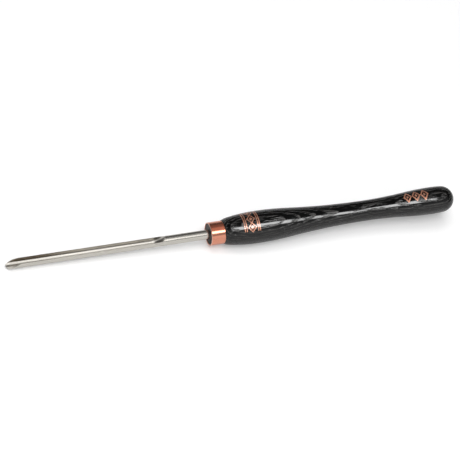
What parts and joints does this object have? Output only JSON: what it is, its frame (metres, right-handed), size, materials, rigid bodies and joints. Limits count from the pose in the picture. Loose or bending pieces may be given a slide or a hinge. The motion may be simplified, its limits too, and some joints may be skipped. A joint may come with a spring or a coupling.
{
  "type": "bowl gouge",
  "caption": "Woodturning gouge: a round steel bar with a deep flute and swept-back ground wings, in a turned black handle with a copper ferrule.",
  "frame": {"origin": "on the tool's axis at the mouth of the ferrule, where the bar leaves the handle", "axes": "+X along the tool's axis from the nose to the butt, +Z out of the open flute"},
  "size_m": [0.4695, 0.0322, 0.0322],
  "materials": {
    "high_speed_steel": "fine ground and polished, with grinding lines on the bevel",
    "copper": "polished copper with bright rims",
    "black_ash": "black-stained ash under clear lacquer",
    "epoxy": "set amber epoxy"
  },
  "bodies": {
    "root": {"blade": "high_speed_steel", "ferrule": "copper", "handle": "black_ash", "tang_epoxy": "epoxy"}
  },
  "joints": []
}
